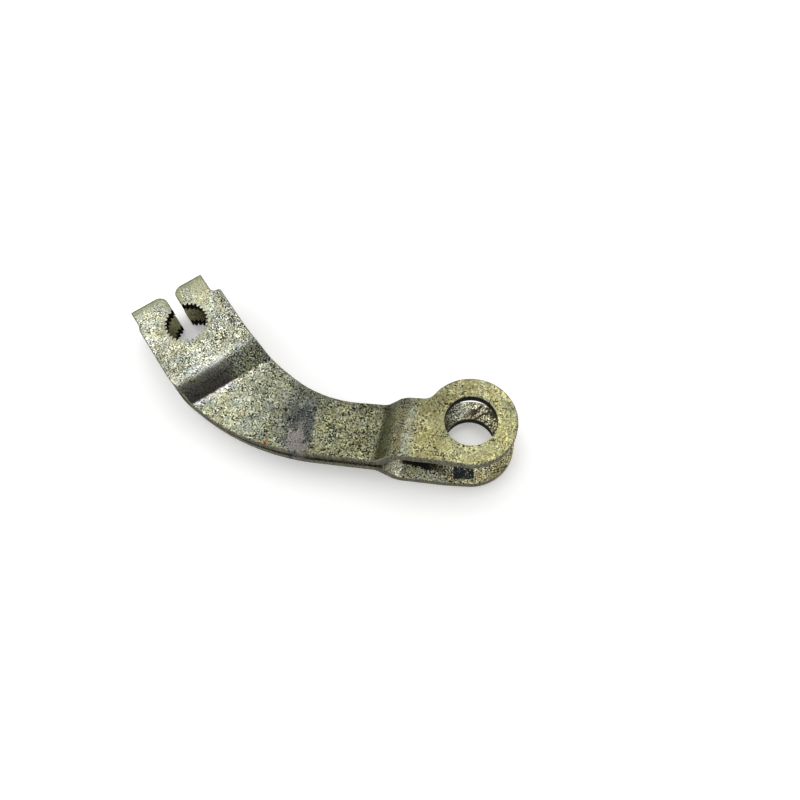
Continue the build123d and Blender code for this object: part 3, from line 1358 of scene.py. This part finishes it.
@dataclass(frozen=True)
class Studio:
    """Soft light from above, a darker side behind the camera, and the camera itself.

    Places and the lamp's size are in metres, the roll is in radians, the lens and the sensor are
    in millimetres, and the lamp's power is in watts.
    """

    eye: Place = (0.11144843, -0.07988377, 0.20501554)
    target: Place = (0.0637199, 0.0058746, -0.00905)
    roll: float = -0.1207066
    lens: float = 36.2537
    sensor: float = 36.0
    clip_start: float = 0.005
    sky: float = 1.25
    dark_side: Place = (0.42, -0.31, 0.85)
    dark_span: Span = (0.66, 0.92)
    dark_colour: Colour = (0.07, 0.065, 0.06)
    lamp_place: Place = (-0.05, 0.12, 0.80)
    lamp_target: Place = (0.045, 0.0, 0.0)
    lamp_size: float = 0.6
    lamp_power: float = 1.2

    def build(self) -> None:
        """Makes the world, the lamp and the camera."""
        self._world()
        self._lamp()
        self._camera()

    @staticmethod
    def _aimed(place: Place, target: Place) -> Matrix:
        """The matrix of a thing at a place that looks at a target.

        Args:
            place: where it is.
            target: the point that it looks at.

        Returns:
            The matrix.
        """
        turn = (Vector(target) - Vector(place)).to_track_quat("-Z", "Y").to_matrix()
        return Matrix.Translation(place) @ turn.to_4x4()

    def _world(self) -> None:
        """A soft white room with one dark patch behind the camera."""
        world = bpy.data.worlds.new("studio")
        bpy.context.scene.world = world
        world.use_nodes = True
        world.node_tree.nodes.clear()
        graph = Graph(world.node_tree)
        direction = graph.add("ShaderNodeTexCoord").outputs["Generated"]
        dark = tuple(Vector(self.dark_side).normalized())
        facing = graph.add("ShaderNodeVectorMath", {0: direction, 1: dark}, operation="DOT_PRODUCT")
        shade = graph.step(facing.outputs["Value"], *self.dark_span)
        room = graph.blend(shade, WHITE, self.dark_colour)
        light = graph.add("ShaderNodeBackground", {"Color": room, "Strength": self.sky})
        backdrop = graph.add("ShaderNodeBackground", {"Color": WHITE, "Strength": 1.0})
        seen = graph.add("ShaderNodeLightPath").outputs["Is Camera Ray"]
        shaders = {0: seen, 1: light.outputs[0], 2: backdrop.outputs[0]}
        mixed = graph.add("ShaderNodeMixShader", shaders)
        graph.add("ShaderNodeOutputWorld", {"Surface": mixed.outputs[0]})

    def _lamp(self) -> None:
        """One broad lamp above the lever."""
        lamp = bpy.data.lights.new("overhead_lamp", "AREA")
        lamp.shape = "SQUARE"
        lamp.size = self.lamp_size
        lamp.energy = self.lamp_power
        holder = bpy.data.objects.new("overhead_lamp", lamp)
        holder.matrix_world = self._aimed(self.lamp_place, self.lamp_target)
        bpy.context.scene.collection.objects.link(holder)

    def _camera(self) -> None:
        """The camera at the photograph's place."""
        lens = bpy.data.cameras.new("camera")
        lens.sensor_width = self.sensor
        lens.lens = self.lens
        lens.clip_start = self.clip_start
        camera = bpy.data.objects.new("camera", lens)
        roll = Matrix.Rotation(self.roll, 4, "Z")
        camera.matrix_world = self._aimed(self.eye, self.target) @ roll
        bpy.context.scene.collection.objects.link(camera)
        bpy.context.scene.camera = camera


def make_finishes(effects: Effects) -> dict[Region, bpy.types.Material]:
    """Makes the finish of each kind of surface on the leaves.

    Args:
        effects: the shared node groups.

    Returns:
        The materials by region.
    """
    finishes = {
        Region.OUTER: PlatedSteel(
            "plated_face", OUTER_HEAD, OUTER_HEAD_INNER_SIDE, OUTER_FORK, rust_spots=RUST_SPOTS
        ),
        Region.INNER: PlatedSteel(
            "plated_inner_face", INNER_HEAD, INNER_HEAD_PAINTED_SHADOW, INNER_FORK,
            # ear_top paints light onto the lower ear's inner face where the upper ear shades it;
            # the dark tab colour here is partly painted shade.
            tab=(0.12, 0.12, 0.06), ear_top=1.7, ear_wear=0.02,
            surface_marks=(
                DarkSlantStreaks((0.035, 0.03, 0.018)),
                # Painted shadow of the upper ear on the lower ear's inner face.
                PaintedEarShadow((0.006, 0.006, 0.004)),
                PaintDab((0.010, 0.016, 0.018)),
            ),
        ),
        Region.RIM: CutSteel("worn_rim", (0.19, 0.19, 0.13), metallic=0.85, roughness=0.42),
        Region.WALL: CutSteel(
            "punched_edge", (0.105, 0.103, 0.065), metallic=0.3, roughness=0.6
        ),
        # Near black: partly painted shade inside the holes and between the teeth, partly grime.
        Region.BORE: CutSteel(
            "hole_wall", (0.006, 0.006, 0.004),
            stained=0.1, metallic=0.0, roughness=0.7, shine=0.1,
        ),
        # Near black along the inner edges of the leaves, where they meet.
        Region.SEAM: CutSteel(
            "dark_seam_edge", (0.012, 0.011, 0.008),
            stained=0.3, metallic=0.0, roughness=0.65, shine=0.1,
        ),
    }
    return {region: finish.build(effects) for region, finish in finishes.items()}


def main() -> None:
    """Builds the lever, the floor, the light and the camera."""
    logging.basicConfig(level=logging.INFO)
    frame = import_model()
    bpy.context.scene.view_settings.view_transform = "Standard"
    effects = Effects()
    finishes = make_finishes(effects)
    weld_steel = CutSteel("weld_steel", (0.30, 0.28, 0.27)).build(effects)
    for piece in LeverAssembly(finishes, weld_steel).build(frame):
        LOG.info("%s: %d faces", piece.name, len(piece.data.polygons))
    Floor().build()
    Studio().build()


if __name__ == "__main__":
    main()
